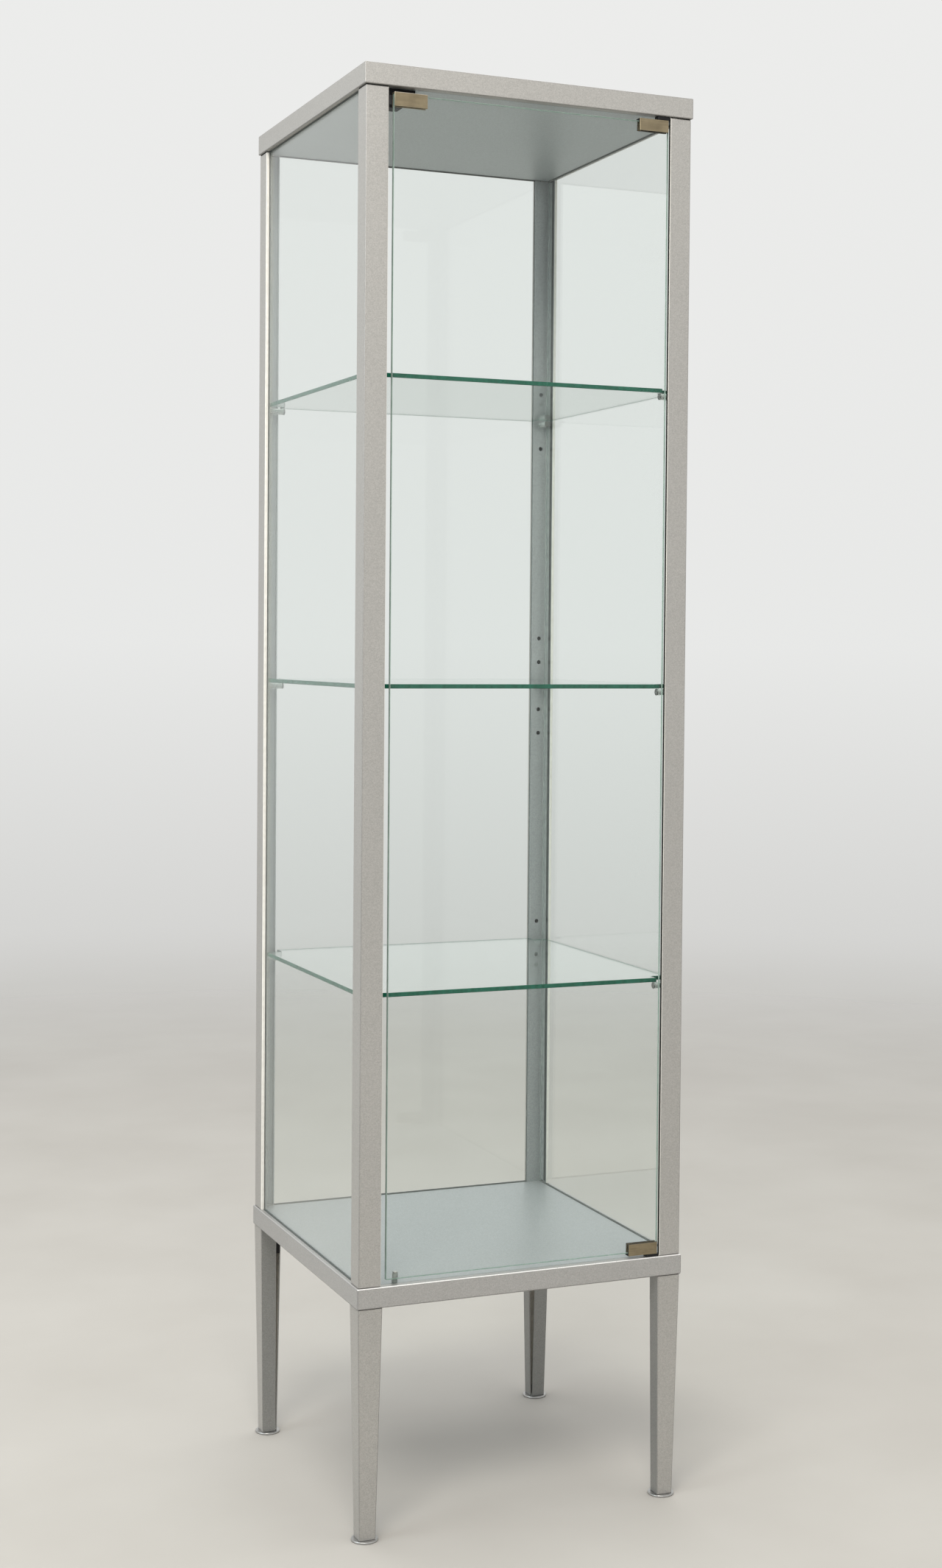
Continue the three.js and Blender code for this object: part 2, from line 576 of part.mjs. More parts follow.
addPiece('door_glass', box(DOOR_LEFT, DOOR_RIGHT, DOOR_FRONT, DOOR_BACK, DOOR_BOTTOM, DOOR_TOP), clearGlass);
const hinges = [
  { name: 'lower', edge: DOOR_BOTTOM, sign: 1, face: BASE_TOP },
  { name: 'upper', edge: DOOR_TOP, sign: -1, face: CAP_BOTTOM },
];
for (const { name, edge, sign, face } of hinges) {
  addPiece(`hinge_clamp_${name}`, hingeClamp(edge, sign), bronzePlate);
  addPiece(`pivot_pin_${name}`, pivotPin(edge, sign), steel);
  addPiece(`pivot_bushing_${name}`, bushing(face, edge, sign), blackPlastic);
  SET_SCREWS_X.forEach((x, index) => {
    addPiece(`clamp_screw_${name}_${index + 1}`, setScrew(x, edge, sign), steel);
  });
}
addPiece('strike_clip', strikeClip(), bronzePlate);

addPiece('catch_housing', catchHousing(), blackPlastic);
addPiece('catch_magnet', magnetPocket(GAP, CATCH_FRONT - MAGNET_PROUD), ferrite);
CATCH_SCREWS_Y.forEach((y, index) => {
  addPiece(`catch_screw_${index + 1}`, catchScrew(y), steel);
});
addPiece('stop_pin', stopPin(), steel);
addPiece('stop_sleeve', stopSleeve(), greyPlastic);

export default showcase;
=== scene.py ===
"""Looks for the glass display showcase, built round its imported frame.

Metres, +Z up, the front with the door towards -Y. Every size that belongs to the object
comes from the frame; the names below are finishes, radii and the studio.
"""

import json
import math

import bmesh
import bpy
from mathutils import Matrix, Vector


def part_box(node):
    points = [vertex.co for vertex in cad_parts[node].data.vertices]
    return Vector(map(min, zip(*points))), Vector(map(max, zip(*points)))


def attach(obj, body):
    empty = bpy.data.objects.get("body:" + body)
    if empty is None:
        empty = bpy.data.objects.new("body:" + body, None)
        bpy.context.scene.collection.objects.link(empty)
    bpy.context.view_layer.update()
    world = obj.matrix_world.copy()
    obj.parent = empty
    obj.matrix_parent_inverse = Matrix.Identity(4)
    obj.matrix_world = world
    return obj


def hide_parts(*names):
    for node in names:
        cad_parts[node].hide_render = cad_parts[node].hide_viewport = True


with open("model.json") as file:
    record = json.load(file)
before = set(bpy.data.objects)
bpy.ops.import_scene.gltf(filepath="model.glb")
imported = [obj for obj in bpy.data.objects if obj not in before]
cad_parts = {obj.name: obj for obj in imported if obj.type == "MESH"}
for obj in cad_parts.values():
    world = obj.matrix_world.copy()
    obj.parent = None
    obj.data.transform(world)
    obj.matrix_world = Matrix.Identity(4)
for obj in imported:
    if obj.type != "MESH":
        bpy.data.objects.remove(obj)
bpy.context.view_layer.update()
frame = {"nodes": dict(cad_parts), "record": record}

MM = 0.001
WELD = 0.002 * MM               # vertices this close are one
RING_WELD = 0.001 * MM
NEAR_TOP = 1 * MM               # vertices this near the top of a post or leg move with it
NEAR_FOOT = 0.1 * MM
ON_BOX = 0.02 * MM              # how near the box of a node an edge lies on it
LONG_EDGE = 12 * MM             # shorter edges of sheet parts stay sharp
BLOCK_EDGE = 2 * MM             # the same for blocks and clamps
GLASS_EDGE = 1 * MM
BOLT_EDGE = 0.5 * MM
SCREW_EDGE = 0.3 * MM
FOLD_RADIUS = 1.7 * MM          # outside radius of the folds of the base
POST_RADIUS = 1.1 * MM          # tighter folds of the posts, legs and top cap
SHEET_EDGE_RADIUS = 0.3 * MM    # broken edges of the cut sheet
SEAM_RADIUS = 0.9 * MM          # soft edge of the floor and ceiling panels
GLASS_CHAMFER = 0.5 * MM
CLAMP_RADIUS = 0.7 * MM
PLASTIC_RADIUS = 0.4 * MM
MAGNET_RADIUS = 0.3 * MM
BOLT_RADIUS = 0.3 * MM
SCREW_RADIUS = 0.15 * MM
FLANGE_THICKNESS = 1.2 * MM
SHANK_RADIUS = 2.5 * MM
SLEEVE_RADIUS = 3.8 * MM
SLEEVE_CHAMFER = 0.3 * MM
SLEEVE_PLAY = 0.06 * MM         # between a sleeve and its pin
SLEEVE_END_GAP = 0.1 * MM
PIN_ROUNDING = 0.4 * MM
PIN_ROOT_LENGTH = 4.3 * MM      # hidden behind the wall of the post
GLIDE_STEM_RADIUS = 4 * MM
GLIDE_HEIGHT = 2.5 * MM
GLIDE_UNDERCUT = 0.9 * MM       # how much smaller the disc is where it meets the floor
GLIDE_RIM_HEIGHT = 0.8 * MM
GLIDE_SHOULDER = 0.5 * MM
GLIDE_ROUNDING = 0.6 * MM
STOP_STEM_RADIUS = 1.2 * MM
STOP_HEAD_HEIGHT = 1.9 * MM
STOP_BORE_RADIUS = 1.45 * MM
STOP_ROUNDING = 0.5 * MM
POST_SEAM = 0.8 * MM            # shadow gap over each post
POST_SETTLE = 0.26 * MM         # a post stands down on the rim of the base
LEG_SEAM = 0.5 * MM             # shadow gap over each leg
LEG_FOOT_HALF = 9.9 * MM        # half the width of a leg at its foot
OUTER_SKIN = 1.2 * MM           # paint counts as outside to this depth
LIP_DEPTH = 4.2 * MM            # the folded lips of a post are less deep than this
FOLD_REACH = 0.5 * MM           # the folds of a leg lie this near its outer corners
SEAL = 0.8 * MM                 # width and height of a glazing seal
SEAL_RADIUS = 0.25 * MM
TOUCH = 0.03 * MM               # clearance that stands for contact
POST_SHADE_INSET = 0.5 * MM            # dark pads of painted shade over the posts
POST_SHADE_WIDTH = 2.5 * MM
LEG_SHADE_INSET = 0.6 * MM        # dark plates of painted shade over the legs
LEG_SHADE_WIDTH = 5 * MM
LEG_SHADE_SPLIT = 0.1 * MM
HOLE_SHADE_START = 12.4 * MM         # black strip of painted shade behind the holes of a post, from its outer faces
HOLE_SHADE_END = 18.4 * MM
HOLE_SHADE_BACK = 7.7 * MM
HOLE_SHADE_FRONT = 8.45 * MM
HOLE_SHADE_SHORTER = 10 * MM         # the strip ends this far from the ends of its post
SLOT_SKIN = 1.65 * MM           # slot of a side pane, from the outer faces of its post
SLOT_START = 9.9 * MM
SLOT_MIDDLE = 18.5 * MM
SLOT_END = 25.3 * MM
SLOT_SHORTER = 2 * MM
PANE_GAP = 0.25 * MM
FILLER_GAP = 0.1 * MM
DOOR_SHADE_THICKNESS = 0.45 * MM                # thickness of the strip of painted shade beside the door's hinge edge
DOOR_SHADE_START = 0.2 * MM           # its two long edges, from the front of the post
DOOR_SHADE_END = 3.6 * MM
DOOR_SHADE_FOOT = 1 * MM              # how far it ends from the foot and the top of the post
DOOR_SHADE_HEAD = 2 * MM

GLARE_IOR = 1.36                # under that of glass, as behind a polarising filter
CORNERS = ["front_left", "front_right", "rear_right", "rear_left"]

node_body = {n: body for body, members in frame["record"]["behaviour"]["bodies"].items() for n in members}
node_slot = {row["node"]: row["material_slot"] for row in frame["record"]["subparts"]}


def nodes_in(prefix):
    return sorted(n for n in frame["nodes"] if n.startswith(prefix))


# ---- Shader trees ----------------------------------------------------------


class Tree:
    """A short way to write a node tree: values and sockets go in by input name."""

    def __init__(self, tree):
        self.tree = tree
        tree.nodes.clear()

    def add(self, kind, inputs=None, **settings):
        node = self.tree.nodes.new(kind)
        for name, value in settings.items():
            setattr(node, name, value)
        for name, value in (inputs or {}).items():
            if isinstance(value, bpy.types.NodeSocket):
                self.tree.links.new(value, node.inputs[name])
            else:
                node.inputs[name].default_value = value
        return node

    def place(self):
        return self.add("ShaderNodeTexCoord").outputs["Object"]

    def stretched(self, scale):
        return self.add("ShaderNodeMapping", {"Vector": self.place(), "Scale": scale}).outputs["Vector"]

    def noise(self, scale, detail=2.0, vector=None):
        inputs = {"Vector": vector or self.place(), "Scale": scale, "Detail": detail}
        return self.add("ShaderNodeTexNoise", inputs).outputs["Fac"]

    def cells(self, scale):
        inputs = {"Vector": self.place(), "Scale": scale}
        colour = self.add("ShaderNodeTexVoronoi", inputs).outputs["Color"]
        return self.add("ShaderNodeSeparateColor", {"Color": colour}).outputs["Red"]

    def remap(self, value, low, high, to_low, to_high):
        inputs = {"Value": value, "From Min": low, "From Max": high, "To Min": to_low, "To Max": to_high}
        return self.add("ShaderNodeMapRange", inputs).outputs["Result"]

    def maths(self, operation, a, b):
        return self.add("ShaderNodeMath", {0: a, 1: b}, operation=operation).outputs["Value"]

    def blend(self, factor, a, b, mode="MIX"):
        node = self.add("ShaderNodeMix", {0: factor, 6: a, 7: b}, data_type="RGBA", blend_type=mode)
        return node.outputs[2]

    def grey(self, value):
        return self.add("ShaderNodeCombineColor", {0: value, 1: value, 2: value}).outputs["Color"]

    def bump(self, height, distance, strength=1.0, normal=None):
        inputs = {"Height": height, "Distance": distance, "Strength": strength}
        if normal:
            inputs["Normal"] = normal
        return self.add("ShaderNodeBump", inputs).outputs["Normal"]

    def normal(self, axis):
        facing = self.add("ShaderNodeNewGeometry").outputs["Normal"]
        return self.add("ShaderNodeSeparateXYZ", {"Vector": facing}).outputs[axis]

    def attribute(self, name):
        return self.add("ShaderNodeAttribute", attribute_name=name).outputs["Fac"]

    def principled(self, **inputs):
        named = {name.replace("_", " "): value for name, value in inputs.items()}
        return self.add("ShaderNodeBsdfPrincipled", named).outputs["BSDF"]

    def mix(self, factor, a, b):
        return self.add("ShaderNodeMixShader", {0: factor, 1: a, 2: b}).outputs["Shader"]

    def finish(self, shader):
        self.add("ShaderNodeOutputMaterial", {"Surface": shader})


def material(name):
    made = bpy.data.materials.new(name)
    made.use_nodes = True
    return made, Tree(made.node_tree)


def silver_paint(name, dark, light, fold_highlight=0.0):
    """Satin aluminium-flake paint with fine speckle and a slight orange peel.

    Folds are painted darker, as painted shade. Where `fold_highlight` is above 0, their upper sides that
    face the front get a painted highlight.
    """
    made, t = material(name)
    flakes = t.cells(1100)
    grain = t.noise(1000, 3)
    base = t.blend(t.remap(t.noise(3.5, 2), 0.3, 0.7, 0, 1), dark, light)
    base = t.blend(1.0, base, t.grey(t.remap(flakes, 0, 1, 0.89, 1.11)), "MULTIPLY")
    base = t.blend(1.0, base, t.grey(t.remap(grain, 0.3, 0.7, 0.93, 1.07)), "MULTIPLY")
    across, up = t.normal("Y"), t.normal("Z")
    fold = t.attribute("fold")
    # painted shade: fold faces are blended towards dark grey
    base = t.blend(t.maths("MULTIPLY", fold, 0.30), base, (0.10, 0.10, 0.10, 1))
    # painted highlight: fold faces that face up and to the front are lightened
    highlight_mask = t.maths("MULTIPLY", t.remap(up, 0.15, 0.6, 0.0, fold_highlight), t.remap(across, -0.3, -0.1, 1.0, 0.25))
    lit_fold = t.maths("MULTIPLY", fold, highlight_mask)
    base = t.blend(lit_fold, base, (0.94, 0.925, 0.90, 1))
    rough = t.maths("SUBTRACT", t.remap(grain, 0.3, 0.7, 0.38, 0.48), t.maths("MULTIPLY", lit_fold, 0.12))
    peel = t.bump(t.noise(420, 2), 0.00004, 0.4)
    normal = t.bump(flakes, 0.00003, 0.35, peel)
    t.finish(t.principled(Base_Color=base, Metallic=0.55, Roughness=rough, Normal=normal))
    return made


def pale_painted_light():
    """Pale painted light inside the folded legs and on the post lips that face the front, so these shaded
    faces look lit.
    """
    made, t = material("pale_painted_light_paint")
    dust = t.noise(180, 4)
    base = t.blend(t.remap(dust, 0.3, 0.7, 0, 1), (0.74, 0.72, 0.67, 1), (0.84, 0.82, 0.77, 1))
    normal = t.bump(t.noise(700, 3), 0.00005, 0.5)
    t.finish(t.principled(Base_Color=base, Roughness=0.7, Normal=normal))
    return made


def seen_through(t, shader, tint):
    """Light that only has to get through the glass goes straight, so the inside stays lit."""
    path = t.add("ShaderNodeLightPath")
    plain = t.maths("MAXIMUM", path.outputs["Is Shadow Ray"], path.outputs["Is Diffuse Ray"])
    clear = t.add("ShaderNodeBsdfTransparent", {"Color": tint}).outputs["BSDF"]
    return t.mix(plain, shader, clear)


def glass_face():
    """Polished float glass with faint wiping marks."""
    made, t = material("glass_face")
    wipes = t.remap(t.noise(7, 5, t.stretched((1, 1, 0.3))), 0.45, 0.8, 0.0, 0.02)
    tint = (0.975, 0.986, 0.981, 1)
    glass = t.add("ShaderNodeBsdfGlass", {"Color": tint, "Roughness": wipes, "IOR": GLARE_IOR})
    t.finish(seen_through(t, glass.outputs["BSDF"], tint))
    return made


def glass_edge(name, deep, light, clearness):
    """Ground edge of float glass: deep green along the plate, a little lighter where it's ground."""
    made, t = material(name)
    ground = t.noise(220, 4, t.stretched((1, 1, 0.25)))
    colour = t.blend(t.remap(ground, 0.3, 0.7, 0, 1), deep, light)
    rough = t.remap(t.noise(900, 2), 0.3, 0.7, 0.18, 0.30)
    body = t.principled(Base_Color=colour, Roughness=rough, Specular_IOR_Level=0.12)
    glass = t.add("ShaderNodeBsdfGlass", {"Color": light, "Roughness": 0.12, "IOR": 1.5}).outputs["BSDF"]
    t.finish(seen_through(t, t.mix(clearness, body, glass), light))
    return made


def bronze_plate():
    """Dark bronze finish, brushed along the clamp, with a painted highlight on its upper edges."""
    made, t = material("bronze_plate")
    brush = t.noise(900, 3, t.stretched((0.06, 1, 1)))
    tone = t.noise(70, 4)
    base = t.blend(t.remap(tone, 0.3, 0.7, 0, 1), (0.230, 0.188, 0.120, 1), (0.305, 0.252, 0.162, 1))
    base = t.blend(1.0, base, t.grey(t.remap(brush, 0.2, 0.8, 0.86, 1.14)), "MULTIPLY")
    # painted highlight: fold faces that face up are lightened
    upper_fold_highlight = t.maths("MULTIPLY", t.attribute("fold"), t.remap(t.normal("Z"), -0.1, 0.3, 0.1, 0.8))
    base = t.blend(upper_fold_highlight, base, (0.76, 0.70, 0.60, 1))
    rough = t.remap(brush, 0.2, 0.8, 0.28, 0.44)
    normal = t.bump(brush, 0.00004, 0.5)
    t.finish(t.principled(Base_Color=base, Metallic=0.85, Roughness=rough, Normal=normal))
    return made


def steel(name, colour, roughness):
    """Plated, blackened or sintered metal: fine grain and a little unevenness."""
    made, t = material(name)
    tone = t.noise(240, 4)
    base = t.blend(t.remap(tone, 0.3, 0.7, 0, 1), colour, tuple(c * 1.18 for c in colour[:3]) + (1,))
    rough = t.remap(t.noise(700, 2), 0.3, 0.7, roughness - 0.06, roughness + 0.08)
    normal = t.bump(t.noise(1500, 2), 0.00002, 0.5)
    t.finish(t.principled(Base_Color=base, Metallic=0.95, Roughness=rough, Normal=normal))
    return made


def moulded(name, colour, roughness, grain, sheen=0.5):
    """Moulded plastic or rubber with a fine spark-eroded grain."""
    made, t = material(name)
    tone = t.noise(120, 4)
    base = t.blend(t.remap(tone, 0.3, 0.7, 0, 1), colour, tuple(c * 1.5 for c in colour[:3]) + (1,))
    rough = t.remap(t.noise(grain, 2), 0.3, 0.7, roughness - 0.07, roughness + 0.07)
    normal = t.bump(t.noise(grain, 3), 0.00008, 0.6)
    t.finish(t.principled(Base_Color=base, Roughness=rough, Specular_IOR_Level=sheen, Normal=normal))
    return made


def clear_sleeve():
    """Soft clear tube, slightly milky."""
    made, t = material("clear_sleeve")
    milk = t.remap(t.noise(300, 3), 0.3, 0.7, 0.22, 0.38)
    soft = t.principled(Base_Color=(0.80, 0.84, 0.82, 1), Roughness=0.25)
    clear = t.add("ShaderNodeBsdfGlass", {"Color": (0.93, 0.96, 0.95, 1), "Roughness": 0.1, "IOR": 1.42})
    t.finish(seen_through(t, t.mix(milk, clear.outputs["BSDF"], soft), (0.9, 0.94, 0.92, 1)))
    return made


SILVER = silver_paint("silver_paint", (0.422, 0.412, 0.392, 1), (0.442, 0.432, 0.412, 1))
# silver paint with a painted highlight on its upper front folds, used for the base
HIGHLIT_SILVER = silver_paint("highlit_silver_paint", (0.412, 0.406, 0.396, 1), (0.432, 0.426, 0.416, 1), 1.0)
# darker, cooler copy of the silver paint for the faces inside the posts: painted shade
INNER_SHADE_SILVER = silver_paint("inner_shade_silver_paint", (0.325, 0.352, 0.355, 1), (0.345, 0.372, 0.375, 1))
# darker copy of the silver paint for the inward-facing lips of the legs: painted shade
LIP_SHADE_SILVER = silver_paint("lip_shade_silver_paint", (0.270, 0.272, 0.262, 1), (0.290, 0.292, 0.282, 1))
# cooler copies of the silver paint for the floor and ceiling panels, the ceiling one lighter: painted light
# inside the glass
FLOOR_PAINTED_LIGHT_SILVER = silver_paint("floor_painted_light_silver_paint", (0.392, 0.417, 0.423, 1), (0.412, 0.437, 0.443, 1))
CEILING_PAINTED_LIGHT_SILVER = silver_paint("ceiling_painted_light_silver_paint", (0.465, 0.505, 0.515, 1), (0.485, 0.525, 0.535, 1))
# pale paint that stands in for light on shaded faces: painted light
PALE_PAINTED_LIGHT = pale_painted_light()
GLASS = glass_face()
SHELF_EDGE = glass_edge("shelf_edge", (0.003, 0.075, 0.042, 1), (0.010, 0.125, 0.078, 1), 0.08)
PANE_EDGE = glass_edge("pane_edge", (0.45, 0.55, 0.50, 1), (0.80, 0.86, 0.83, 1), 0.85)
DOOR_EDGE = glass_edge("door_edge", (0.26, 0.36, 0.31, 1), (0.42, 0.52, 0.47, 1), 0.40)
BRONZE = bronze_plate()
ZINC = steel("zinc_steel", (0.42, 0.42, 0.41, 1), 0.32)
DARK_STEEL = steel("dark_steel", (0.17, 0.18, 0.17, 1), 0.33)
BLACK_STEEL = steel("black_steel", (0.035, 0.035, 0.037, 1), 0.42)
FERRITE = steel("ferrite", (0.07, 0.07, 0.075, 1), 0.55)
PLASTIC = moulded("black_plastic", (0.007, 0.007, 0.0075, 1), 0.5, 900, 0.22)
SEAL_RUBBER = moulded("seal_rubber", (0.085, 0.095, 0.090, 1), 0.7, 600)
GREY_PLASTIC = moulded("grey_plastic", (0.22, 0.235, 0.225, 1), 0.5, 800)
# black for the dark pieces of painted shade: pads, hole strips, slot strips and the door strip
SHADE_BLACK = moulded("black_rubber", (0.010, 0.011, 0.010, 1), 0.75, 600, 0.2)
FILLER = moulded("slot_filler", (0.250, 0.262, 0.258, 1), 0.6, 700)
SLEEVE = clear_sleeve()


# ---- Meshes ----------------------------------------------------------------


def cad_solid(node):
    """The CAD node's solid with its flat faces whole again."""
    solid = bmesh.new()
    solid.from_mesh(frame["nodes"][node].data)
    bmesh.ops.remove_doubles(solid, verts=solid.verts, dist=WELD)
    bmesh.ops.dissolve_limit(solid, angle_limit=math.radians(0.4), verts=solid.verts, edges=solid.edges)
    solid.faces.layers.float.new("fold")
    return solid


def corner_edges(solid, shortest, pick=None):
    """Sharp outward edges at least this long."""
    sharp = [e for e in solid.edges if len(e.link_faces) == 2 and e.is_convex
             and e.calc_face_angle() > math.radians(50) and e.calc_length() > shortest]
    return [e for e in sharp if pick is None or pick(e)]


def round_off(solid, edges, radius, segments):
    if edges:
        made = bmesh.ops.bevel(
            solid, geom=edges, offset=radius, offset_type="OFFSET", segments=segments,
            profile=0.5, affect="EDGES", clamp_overlap=True)
        fold = solid.faces.layers.float["fold"]
        for face in made["faces"]:
            face[fold] = 1.0


def mesh_of(solid, name):
    mesh = bpy.data.meshes.new(name)
    bmesh.ops.recalc_face_normals(solid, faces=solid.faces)
    solid.to_mesh(mesh)
    solid.free()
    for polygon in mesh.polygons:
        polygon.use_smooth = True
    mesh.set_sharp_from_angle(angle=math.radians(38))
    return mesh


def add_piece(name, mesh, body, slot, *materials):
    piece = bpy.data.objects.new(name, mesh)
    bpy.context.scene.collection.objects.link(piece)
    for each in materials:
        mesh.materials.append(each)
    flat = piece.modifiers.new("flat_faces", "WEIGHTED_NORMAL")
    flat.keep_sharp = True
    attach(piece, body)
    return piece


def stand_for(node, solid, *materials):
    """A finer piece in the place of one CAD node."""
    name = node + "_shape"
    piece = add_piece(name, mesh_of(solid, name), node_body[node], node_slot[node], *materials)
    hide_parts(node)
    return piece


def turned(profile, axis_point, direction, sides=40, flute=None):
    """A lathe solid round an axis, from a profile of (radius, distance along the axis) points."""
    solid = bmesh.new()
    solid.faces.layers.float.new("fold")
    along = Vector(direction).normalized()
    side = along.orthogonal().normalized()
    other = along.cross(side)
    rings = []
    for radius, height in profile:
        centre = Vector(axis_point) + along * height
        if radius < 1e-7:
            rings.append([solid.verts.new(centre)])
            continue
        ring = []
        for k in range(sides):
            angle = 2 * math.pi * k / sides
            r = radius * (1 + (flute(k) if flute else 0))
            spoke = side * math.cos(angle) + other * math.sin(angle)
            ring.append(solid.verts.new(centre + spoke * r))
        rings.append(ring)
    for low, high in zip(rings, rings[1:]):
        for k in range(sides):
            n = (k + 1) % sides
            corners = [low[k % len(low)], low[n % len(low)], high[n % len(high)], high[k % len(high)]]
            solid.faces.new(list(dict.fromkeys(corners)))
    return solid


def softened(points, radius, steps=3):
    """A (radius, height) profile with its corners rounded, except the ends."""
    out = [points[0]]
    for before, here, after in zip(points, points[1:], points[2:]):
        p, q, r = Vector(before), Vector(here), Vector(after)
        reach = min(radius, (p - q).length * 0.45, (r - q).length * 0.45)
        start = q + (p - q).normalized() * reach
        end = q + (r - q).normalized() * reach
        for k in range(steps + 1):
            s = k / steps
            point = start * (1 - s) ** 2 + q * 2 * s * (1 - s) + end * s ** 2
            out.append((point.x, point.y))
    out.append(points[-1])
    return out


# ---- Sheet metal -----------------------------------------------------------


def on_outer_box(edge, low, high):
    """True for an edge that lies on two sides of the node's own box."""
    sides = 0
    for axis in range(3):
        for limit in (low[axis], high[axis]):
            if all(abs(v.co[axis] - limit) < ON_BOX for v in edge.verts):
                sides += 1
    return sides >= 2


def folded(node, radius, paint):
    """A folded sheet part: full radius on its outer folds, broken edges elsewhere."""
    low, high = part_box(node)
    solid = cad_solid(node)
    round_off(solid, corner_edges(solid, LONG_EDGE, lambda e: on_outer_box(e, low, high)), radius, 4)
    rest = corner_edges(solid, LONG_EDGE)
    rest = [e for e in rest if not any(f[solid.faces.layers.float["fold"]] for f in e.link_faces)]
    round_off(solid, rest, SHEET_EDGE_RADIUS, 1)
    return stand_for(node, solid, paint)


def outer_corner(low, high):
    """The two sides of a corner piece that face away from the middle of the cabinet."""
    return [high[k] if high[k] + low[k] > 0 else low[k] for k in range(2)]


def post(corner):
    """A folded post: silver outside, a darker and cooler copy of the paint inside as painted shade, and
    pale painted light on the lips that face the front.
    """
    node = "post_" + corner
    low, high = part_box(node)
    outer = outer_corner(low, high)
    solid = cad_solid(node)
    for vert in solid.verts:
        if vert.co.z > high.z - NEAR_TOP:
            vert.co.z -= POST_SEAM
        if vert.co.z < low.z + NEAR_FOOT:
            vert.co.z -= POST_SETTLE
    low.z -= POST_SETTLE
    top_high = Vector((high.x, high.y, high.z - POST_SEAM))
    folds = corner_edges(solid, LONG_EDGE, lambda e: on_outer_box(e, low, top_high))
    round_off(solid, folds, POST_RADIUS, 4)
    solid.normal_update()
    for face in solid.faces:
        middle = face.calc_center_median()
        depth = min(abs(middle[k] - outer[k]) for k in range(2))
        lip = max(abs(middle[k] - outer[k]) for k in range(2)) > high.x - low.x - OUTER_SKIN / 2
        # painted shade: faces inside the post take the darker copy; painted light: lips that face the front
        # take the pale paint
        if depth > LIP_DEPTH or (depth > OUTER_SKIN and not lip):
            face.material_index = 1
        elif lip and face.normal.y < -0.5:
            face.material_index = 2
        else:
            face.material_index = 0
    return stand_for(node, solid, SILVER, INNER_SHADE_SILVER, PALE_PAINTED_LIGHT)


def leg(corner):
    """A folded leg: silver outside, darker on its two inner lips as painted shade, pale painted light
    inside.
    """
    node = "leg_" + corner
    low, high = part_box(node)
    outer = outer_corner(low, high)
    inward = Vector([-math.copysign(1, outer[0]), -math.copysign(1, outer[1]), 0])
    solid = cad_solid(node)
    for vert in solid.verts:
        if vert.co.z > high.z - NEAR_TOP:
            vert.co.z -= LEG_SEAM
    lean = max(e.calc_length() for e in solid.edges) * 0.9
    top = high.z
    centre = (low + high) / 2
    half = (high.x - low.x) / 2

    def along_leg(edge):
        if edge.calc_length() < lean:
            return False
        reach = [abs(max(edge.verts, key=lambda v: v.co.z).co[k] - centre[k]) for k in range(2)]
        return min(reach) > half - FOLD_REACH

    round_off(solid, corner_edges(solid, lean, along_leg), POST_RADIUS, 4)
    solid.normal_update()
    for face in solid.faces:
        middle = face.calc_center_median()
        share = (middle.z - low.z) / (top - low.z)
        width = LEG_FOOT_HALF + (half - LEG_FOOT_HALF) * share
        skin = max(abs(middle[k] - centre[k]) for k in range(2)) > width - OUTER_SKIN
        # inside faces take the pale painted light; outer faces that face inward take the darker copy as
        # painted shade
        if not skin:
            face.material_index = 2
        else:
            face.material_index = 1 if face.normal.dot(inward) > 0.5 else 0
    return stand_for(node, solid, SILVER, LIP_SHADE_SILVER, PALE_PAINTED_LIGHT)


folded("base_frame", FOLD_RADIUS, HIGHLIT_SILVER)
folded("top_cap", POST_RADIUS, SILVER)
folded("floor_panel", SEAM_RADIUS, FLOOR_PAINTED_LIGHT_SILVER)
folded("ceiling_panel", SEAM_RADIUS, CEILING_PAINTED_LIGHT_SILVER)
for corner in CORNERS:
    post(corner)
    leg(corner)


# ---- Glass -----------------------------------------------------------------


def glass_plate(node, edge_material):
    """A plate with ground chamfers: its two large faces clear, its rim green."""
    low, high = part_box(node)
    size = high - low
    thin = min(range(3), key=lambda axis: size[axis])
    solid = cad_solid(node)
    round_off(solid, corner_edges(solid, GLASS_EDGE), GLASS_CHAMFER, 1)
    solid.normal_update()
    for face in solid.faces:
        face.material_index = 0 if abs(face.normal[thin]) > 0.99 else 1
    return stand_for(node, solid, GLASS, edge_material)


for node in nodes_in("pane_"):
    glass_plate(node, PANE_EDGE)
glass_plate("door_glass", DOOR_EDGE)
for node in ["shelf_lower", "shelf_middle", "shelf_upper"]:
    glass_plate(node, SHELF_EDGE)


# ---- Shelf pins ------------------------------------------------------------


def shelf_pin(node):
    """A flanged pin pointing inwards, in a clear sleeve of its own."""
    low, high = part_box(node)
    centre, size = (low + high) / 2, high - low
    axis = max(range(3), key=lambda k: size[k])
    inward = Vector([0, 0, 0])
    inward[axis] = -math.copysign(1, centre[axis])
    length = size[axis]
    flange = size.z / 2
    root = centre - inward * (length / 2)
    rod = softened([
        (0, 0), (SHANK_RADIUS, 0), (SHANK_RADIUS, length - FLANGE_THICKNESS),
        (flange, length - FLANGE_THICKNESS), (flange, length), (0, length)], PIN_ROUNDING)
    stand_for(node, turned(rod, root, inward), DARK_STEEL)
    start, end = PIN_ROOT_LENGTH, length - FLANGE_THICKNESS - SLEEVE_END_GAP
    bore, chamfer = SHANK_RADIUS + SLEEVE_PLAY, SLEEVE_CHAMFER
    tube = [(bore, start), (SLEEVE_RADIUS - chamfer, start), (SLEEVE_RADIUS, start + chamfer),
            (SLEEVE_RADIUS, end - chamfer), (SLEEVE_RADIUS - chamfer, end), (bore, end), (bore, start)]
    sleeve = turned(tube, root, inward)
    bmesh.ops.remove_doubles(sleeve, verts=sleeve.verts, dist=RING_WELD)
    name = node + "_sleeve"
    add_piece(name, mesh_of(sleeve, name), node_body[node], node_slot[node], SLEEVE)


